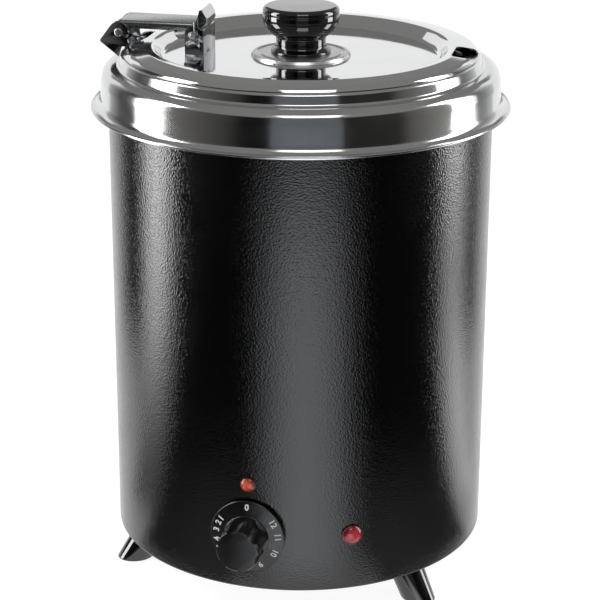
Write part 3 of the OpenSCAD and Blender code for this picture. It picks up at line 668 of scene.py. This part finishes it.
# %% [markdown]
# ## The dial's numbers
# The numbers run round the dial's skirt with their tops outwards. Blender's own font makes the outlines,
# which are thickened a little, since this print is bold. Each number becomes a mesh before it is put in
# place: up points away from the dial's axis, and the whole number leans back with the cone of the skirt.

# %% Numbers
FONT_SIZE, INK, BOLD = 3.9 * MM * 1.38, 0.03 * MM, 0.15 * MM  # a digit comes out 4.1 mm high


def number_mesh(label):
    """A thin solid number, centred on its own axes, in the XY plane."""
    curve = bpy.data.curves.new("number", "FONT")
    curve.body, curve.align_x, curve.align_y = label, "CENTER", "CENTER"
    curve.size, curve.extrude, curve.offset, curve.resolution_u = FONT_SIZE, INK, BOLD, 3
    holder = bpy.data.objects.new("number", curve)
    bpy.context.scene.collection.objects.link(holder)
    bpy.context.view_layer.update()
    mesh = bpy.data.meshes.new_from_object(holder.evaluated_get(bpy.context.evaluated_depsgraph_get()))
    bm = bmesh.new()
    bm.from_mesh(mesh)
    bmesh.ops.remove_doubles(bm, verts=bm.verts, dist=1e-7)
    bpy.data.objects.remove(holder)
    bpy.data.curves.remove(curve)
    bpy.data.meshes.remove(mesh)
    return bm


NUMBER_RING = 19.5  # radius of the ring of numbers
NUMBER_ANGLES = (0, 57, 67.5, 82, 101, 116, 132, 152, 178, 206, 243, 276, 303)  # the scale isn't even
SKIRT_EDGE, SKIRT_RADIUS = SHELL_RADIUS + 2.8, 23.1  # the rim of the skirt: how far out, and its radius
skirt_lean = math.atan(1.5 / 8.1)  # the cone rises by 1.5 mm on its 8.1 mm way in
skirt_face = SKIRT_EDGE + (SKIRT_RADIUS - NUMBER_RING) * math.tan(skirt_lean)
numbers = []
for value, angle in enumerate(math.radians(degrees) for degrees in NUMBER_ANGLES):
    outwards = Vector((0, -math.sin(angle), math.cos(angle)))
    normal = Vector((math.cos(skirt_lean), 0, 0)) + outwards * math.sin(skirt_lean)
    up = outwards * math.cos(skirt_lean) - Vector((math.sin(skirt_lean), 0, 0))
    right = up.cross(normal)
    at = Vector((skirt_face, 0, 0)) + outwards * NUMBER_RING
    lay = Matrix.Translation(at * MM) @ Matrix((right, up, normal)).transposed().to_4x4()
    digits = number_mesh(str(value))
    bmesh.ops.transform(digits, matrix=toward(DIAL_AT, DIAL_HEIGHT) @ lay, verts=digits.verts)
    numbers.append(digits)
piece("dial_numbers", numbers, white_ink, "dial", [])

# %% [markdown]
# ## Finishes for the CAD pieces that stay
# The inner pieces are seen only from below or when the kettle is taken apart. Their CAD shape is right,
# so each just gets its finish.

# %% Finishes on CAD nodes
FINISHES = {
    powder_coat: ["base_plate"],
    zinc_plate: ["base_screws", "foot_screws", "element_clamp", "clamp_nut", "thermostat_screws",
                 "bulb_clip", "lamp_clips", "terminal_bracket", "knob_screw"],
    rolled_aluminium: ["heat_spreader"],
    oxidised_sheath: ["heating_element"],
    black_nylon: ["overheat_cutout", "thermostat_body", "gland_nut"],
    pin_steel: ["thermostat_shaft"],
    browned_copper: ["feeler_bulb"],
    cream_nylon: ["small_lamp_body", "large_lamp_body", "terminal_block"],
    spring_wire: ["latch_spring"],
}
for material, names in FINISHES.items():
    for name in names:
        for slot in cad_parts[name].material_slots:
            slot.link = "OBJECT"
            slot.material = material
print("CAD nodes finished:", sum(len(names) for names in FINISHES.values()))

# %% [markdown]
# ## The camera
# A lens of about 120 mm, nearly 1.4 m away, keeps the kettle's sides almost parallel. The camera looks
# down by twenty degrees, so the lid and the hinge show, and it is rolled by a fifth of a degree.

# %% Camera
DISTANCE, HEIGHT, DOWN, ROLL = 1.219, 0.612, 0.34636, 0.00373  # metres and radians
camera = bpy.data.objects.new("camera", bpy.data.cameras.new("camera"))
bpy.context.scene.collection.objects.link(camera)
bpy.context.scene.camera = camera
camera.data.lens, camera.data.sensor_width = 119.8, 36
camera.data.clip_start, camera.data.clip_end = 0.05, 20
camera.matrix_world = (Matrix.Translation((0, -DISTANCE, HEIGHT))
                       @ Matrix.Rotation(math.radians(90) - DOWN, 4, "X")
                       @ Matrix.Rotation(ROLL, 4, "Z"))
print("camera looks down by", round(math.degrees(DOWN), 1), "degrees from", HEIGHT, "m")

# %% [markdown]
# ## Background
# The background is white to the camera, to reflections and to light that passes through a lens. To the
# light that falls on the kettle it is only a soft fill. Light Path tells these rays apart, so the white
# does not flood the scene. The floor uses the same switch, and keeps its shadow because only half of its
# white is its own.

# %% Floor and world
def seen_rays(tree):
    """1 for rays from the camera, from a reflection or through a lens, and 0 for all others."""
    rays = add(tree, "ShaderNodeLightPath").outputs
    some = add(tree, "ShaderNodeMath", {0: rays["Is Camera Ray"], 1: rays["Is Glossy Ray"]},
               operation="MAXIMUM")
    return add(tree, "ShaderNodeMath", {0: some.outputs[0], 1: rays["Is Transmission Ray"]},
               operation="MAXIMUM").outputs[0]


world = bpy.data.worlds.new("studio")
bpy.context.scene.world = world
world.use_nodes = True
tree = world.node_tree
tree.nodes.clear()
white = add(tree, "ShaderNodeBackground", {"Color": linear("#FFFFFF"), "Strength": 1.0})
fill = add(tree, "ShaderNodeBackground", {"Color": linear("#F2F4F8"), "Strength": 0.35})
both = add(tree, "ShaderNodeMixShader", {0: seen_rays(tree), 1: fill.outputs[0], 2: white.outputs[0]})
add(tree, "ShaderNodeOutputWorld", {"Surface": both.outputs[0]})

floor_finish = bpy.data.materials.new("matt_white_paper")
floor_finish.use_nodes = True
tree = floor_finish.node_tree
tree.nodes.clear()
paper = add(tree, "ShaderNodeBsdfDiffuse", {"Color": linear("#DCDCDC")})
half = add(tree, "ShaderNodeBsdfDiffuse", {"Color": linear("#8C8C8C")})
glow = add(tree, "ShaderNodeEmission", {"Color": linear("#FFFFFF"), "Strength": 0.92})
lit = add(tree, "ShaderNodeAddShader", {0: half.outputs[0], 1: glow.outputs[0]})
both = add(tree, "ShaderNodeMixShader", {0: seen_rays(tree), 1: paper.outputs[0], 2: lit.outputs[0]})
add(tree, "ShaderNodeOutputMaterial", {"Surface": both.outputs[0]})
bm = bmesh.new()
bmesh.ops.create_grid(bm, x_segments=1, y_segments=1, size=6)
floor_mesh = bpy.data.meshes.new("floor")
bm.to_mesh(floor_mesh)
bm.free()
floor_mesh.materials.append(floor_finish)
floor = bpy.data.objects.new("floor", floor_mesh)
bpy.context.scene.collection.objects.link(floor)
floor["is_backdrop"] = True
print("floor and world are white to the camera and to reflections")

# %% [markdown]
# ## Lamps
# Two tall softboxes stand at the sides. They draw the long bright stripes that make a black tube look
# round. A third, wide one hangs high in front and lights the shell's front, the dial and the feet.

# %% Lamps
def softbox(name, azimuth, distance, height, width, tall, radiance):
    """An area lamp at an azimuth: a tall one faces the kettle level, and a wide one looks down at it."""
    data = bpy.data.lights.new(name, "AREA")
    data.shape, data.size, data.size_y = "RECTANGLE", width, tall
    data.energy = radiance * math.pi * width * tall  # the watts that give this radiance
    lamp = bpy.data.objects.new(name, data)
    a = math.radians(azimuth)
    lamp.location = (distance * math.sin(a), -distance * math.cos(a), height)
    aim = Vector((0, 0, height if tall > width else 0.2)) - lamp.location
    lamp.rotation_euler = aim.to_track_quat("-Z", "Y").to_euler()
    lamp.visible_camera = False
    bpy.context.scene.collection.objects.link(lamp)
    print(name, "gives", round(data.energy, 1), "W")


softbox("left_softbox", -87.5, 1.1, 0.62, 0.42, 1.24, 8.0)
softbox("right_softbox", 97, 1.1, 0.62, 0.38, 1.24, 6.0)
softbox("front_softbox", 6, 0.95, 1.35, 0.68, 0.5, 2.4)

# %% [markdown]
# ## Cards
# Polished steel shows whatever stands around it. A studio puts dark and grey cards round a bright
# object to give its reflections their contrast. These cards are curved strips: some stand round the
# kettle, some lie on the floor, where the upright shell looks, and some close the room as a ceiling,
# which the lid's slopes mirror. How bright a card is changes along it. The mesh keeps that number at
# each vertex as an attribute, and the glow reads it. Only reflections see the cards, so they neither
# hide nor shade anything.

# %% Cards
def gain_at(path, distance, height):
    """The gain of the point of a card's path that lies nearest to this distance and height."""
    return min(path, key=lambda point: math.hypot(point[0] - distance, point[1] - height))[2]


def level_at(levels, azimuth):
    """The brightness at an azimuth, on straight lines between the levels."""
    def past(pair):
        """How far the azimuth lies outside a pair of levels: it is negative inside."""
        return abs((pair[0][0] + pair[1][0]) / 2 - azimuth) - abs(pair[1][0] - pair[0][0]) / 2

    (start, dim), (end, lit) = min(zip(levels, levels[1:]), key=past)
    share = min(1.0, max(0.0, (azimuth - start) / (end - start)))
    return dim + share * (lit - dim)


def card(name, path, levels, colour):
    """A curved card. path: (distance, height, gain) points in metres. levels: (azimuth, brightness)."""
    bm = bmesh.new()
    bright = bm.verts.layers.float.new("brightness")
    first, last = levels[0][0], levels[-1][0]
    start = math.radians(first)
    chain = [bm.verts.new((r * math.sin(start), -r * math.cos(start), z)) for r, z, _ in path]
    edges = [bm.edges.new(pair) for pair in zip(chain, chain[1:])]
    bmesh.ops.spin(bm, geom=chain + edges, axis=(0, 0, 1), cent=(0, 0, 0),
                   angle=math.radians(last - first), steps=max(2, int(abs(last - first) / 3)))
    for vert in bm.verts:
        distance = vert.co.xy.length
        azimuth = math.degrees(math.atan2(vert.co.x, -vert.co.y)) if distance > 1e-6 else first
        azimuth += 360 * round(((first + last) / 2 - azimuth) / 360)
        vert[bright] = gain_at(path, distance, vert.co.z) * level_at(levels, azimuth)
    mesh = bpy.data.meshes.new(name)
    bm.to_mesh(mesh)
    bm.free()
    paint = bpy.data.materials.new(name)
    paint.use_nodes = True
    tree = paint.node_tree
    tree.nodes.clear()
    level = add(tree, "ShaderNodeAttribute", attribute_name="brightness")
    glow = add(tree, "ShaderNodeEmission", {"Color": linear(colour), "Strength": level.outputs["Fac"]})
    add(tree, "ShaderNodeOutputMaterial", {"Surface": glow.outputs[0]})
    mesh.materials.append(paint)
    made = bpy.data.objects.new(name, mesh)
    bpy.context.scene.collection.objects.link(made)
    made.visible_camera = made.visible_diffuse = made.visible_shadow = made.visible_transmission = False
    made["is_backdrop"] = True


LOW, HIGH = [(0.41, 0.002, 1), (0.62, 0.002, 1), (0.62, 0.16, 1)], [(0.62, 0.16, 1), (0.62, 0.63, 1)]
FRONT_LOW = [(0.18, 0.002, 1), (0.62, 0.002, 1), (0.62, 0.1, 1), (0.62, 0.16, 0.5)]
NEAR_FLOOR = [(0.15, 0.002, 1), (0.27, 0.002, 1), (0.35, 0.002, 0.05), (0.41, 0.002, 0.03)]
LEFT_FLOOR = [(0.2, 0.003, 0.05), (0.42, 0.003, 0.2), (0.7, 0.003, 1), (1.08, 0.003, 1.3)]
RIGHT_FLOOR = [(0.2, 0.003, 0.6), (0.42, 0.003, 1.2), (0.7, 0.003, 0.8), (1.08, 0.003, 1)]
FLAG = [(0.5, 0.002, 1), (0.62, 0.002, 1), (0.62, 0.63, 1)]
CEILING = [(2.6, 1.55, 1), (2.0, 2.1, 1), (0.0, 2.3, 1)]
CARDS = [  # name, path, levels, colour
    ("front_low_card", FRONT_LOW, [(-27, 0), (-20, 0.5), (-13, 1.4), (-4, 2.1), (9, 2.0), (18, 1.5),
                                   (24, 0.8), (32, 0)], "#F4F6FA"),
    ("front_high_card", HIGH, [(-15, 0.17), (21, 0.17)], "#E8EEF8"),
    ("left_low_card", LOW, [(-27, 0.003), (-60, 0.01), (-77, 0.04)], "#FFFFFF"),
    ("right_low_card", LOW, [(32, 0.003), (66, 0.01), (86, 0.05)], "#FFFFFF"),
    ("left_card", HIGH, [(-15, 0.006), (-29, 0.006), (-36, 0.045), (-50, 0.09), (-66, 0.13), (-77, 0.2)],
     "#FFFCF4"),
    ("right_card", HIGH, [(21, 0.02), (35, 0.025), (52, 0.03), (57, 0.1), (70, 0.18), (86, 0.28)],
     "#FFFCF4"),
    ("left_floor_card", NEAR_FLOOR, [(-27, 0.25), (-45, 0.2), (-60, 0.1), (-77, 0.08)], "#FFFFFF"),
    ("right_floor_card", NEAR_FLOOR, [(32, 0.25), (50, 0.2), (66, 0.12), (86, 0.1)], "#FFFFFF"),
    ("left_flag", FLAG, [(-98, 0.03), (-112, 0.06), (-128, 0.5)], "#FFFFFF"),
    ("right_flag", FLAG, [(107, 0.1), (117, 0.3), (130, 0.7)], "#FFFFFF"),
    ("left_glow", LEFT_FLOOR, [(-98, 5.4), (-77, 5.4)], "#FFFFFF"),
    ("right_glow", RIGHT_FLOOR, [(87, 2.6), (107, 2.6)], "#FFFFFF"),
    ("back_ceiling", [(2.6, 1.12, 1), (2.6, 1.55, 1)], [(150, 0.24), (210, 0.24)], "#FFFDF8"),
    ("front_ceiling", [(2.6, 1.0, 1), (2.6, 1.55, 1)], [(-112, 0.24), (112, 0.24)], "#FFFDF8"),
    ("ceiling", CEILING, [(-180, 0.24), (180, 0.24)], "#FFFDF8"),
]
for name, path, levels, colour in CARDS:
    card(name, path, levels, colour)
print("cards:", len(CARDS))

# %% [markdown]
# ## Colour output and the two boxes
# The Standard view shows a colour about as it was written. The two boxes are printed, so the size
# of the dressed kettle can be read beside the CAD model's.

# %% Finish
bpy.context.scene.view_settings.view_transform = "Standard"
dressed_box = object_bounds()
for title, box in (("CAD", cad_box), ("dressed", dressed_box)):
    print(title, [[round(c / MM, 2) for c in corner] for corner in box])
